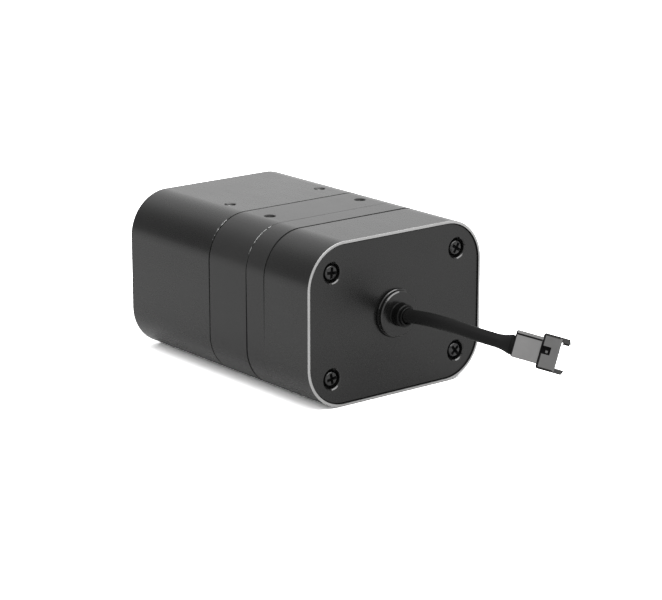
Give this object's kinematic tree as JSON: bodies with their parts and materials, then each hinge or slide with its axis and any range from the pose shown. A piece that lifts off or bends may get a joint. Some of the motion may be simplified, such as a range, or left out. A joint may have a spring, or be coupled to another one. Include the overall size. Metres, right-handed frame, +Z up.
{
  "type": "lidar scanner module",
  "caption": "Rounded box-shaped laser scanner in stacked dark metal sections, with a turning polygon mirror behind a front window and a short cable with a plug at the back.",
  "frame": {"origin": "centre of the housing's base, on the surface it stands on", "axes": "+Y looks out of the front window, -Y is the rear plate with the cable, +X is right as seen from behind, +Z up"},
  "size_m": [0.06, 0.1259, 0.045],
  "materials": {
    "housing": "dark grey anodised, fine satin",
    "rear_plate": "dark grey, smooth satin",
    "blackened_steel": "blackened steel",
    "bright_steel": "bright steel",
    "bare_aluminium": "machined",
    "mirror_coat": "polished and coated facets",
    "rubber": "black, matt",
    "sheath": "black cable sheath",
    "window": "smoked, dark, glossy",
    "lens_glass": "clear lens",
    "board": "green circuit board laminate",
    "moulded_black": "black moulded plastic",
    "plug_grey": "grey moulded plastic",
    "contact_tin": "tinned",
    "core_steel": "laminated core"
  },
  "bodies": {
    "module": {"front_shell": "housing", "middle_shell": "housing", "spacer_ring": "housing", "rear_shell": "housing", "rear_plate": "rear_plate", "stack_screw_1": "blackened_steel", "stack_screw_2": "blackened_steel", "stack_screw_3": "blackened_steel", "stack_screw_4": "blackened_steel", "optics_block": "blackened_steel", "gland_nut": "bright_steel", "bearing_lower": "bright_steel", "bearing_upper": "bright_steel", "laser_diode": "bright_steel", "photodetector": "bright_steel", "board_screw_1": "bright_steel", "board_screw_2": "bright_steel", "board_screw_3": "bright_steel", "board_screw_4": "bright_steel", "optics_frame": "bare_aluminium", "motor_base": "bare_aluminium", "standoff_1": "bare_aluminium", "standoff_2": "bare_aluminium", "standoff_3": "bare_aluminium", "standoff_4": "bare_aluminium", "capacitor": "bare_aluminium", "front_seal": "rubber", "middle_seal": "rubber", "rear_seal": "rubber", "plate_seal": "rubber", "window_gasket": "rubber", "cable": "sheath", "cable_collar": "sheath", "inner_lead": "sheath", "front_window": "window", "emitter_lens": "lens_glass", "receiver_lens": "lens_glass", "main_board": "board", "power_board": "board", "transceiver_board": "board", "cable_gland": "moulded_black", "encoder_sensor": "moulded_black", "processor": "moulded_black", "cable_header": "moulded_black", "inductor": "moulded_black", "connector_housing": "plug_grey", "contact_1": "contact_tin", "contact_2": "contact_tin", "motor_stator": "core_steel"},
    "mirror_rotor": {"mirror_shaft": "bright_steel", "rotor_cup": "bare_aluminium", "rotor_magnet": "core_steel", "encoder_disc": "blackened_steel", "polygon_mirror": "mirror_coat", "mirror_clamp": "bright_steel"}
  },
  "joints": [
    {"name": "mirror_spin", "type": "hinge", "parent": "module", "child": "mirror_rotor", "pos_m": [0.0096, 0.01868, 0.0225], "axis": [0, 0, 1], "continuous": true}
  ]
}
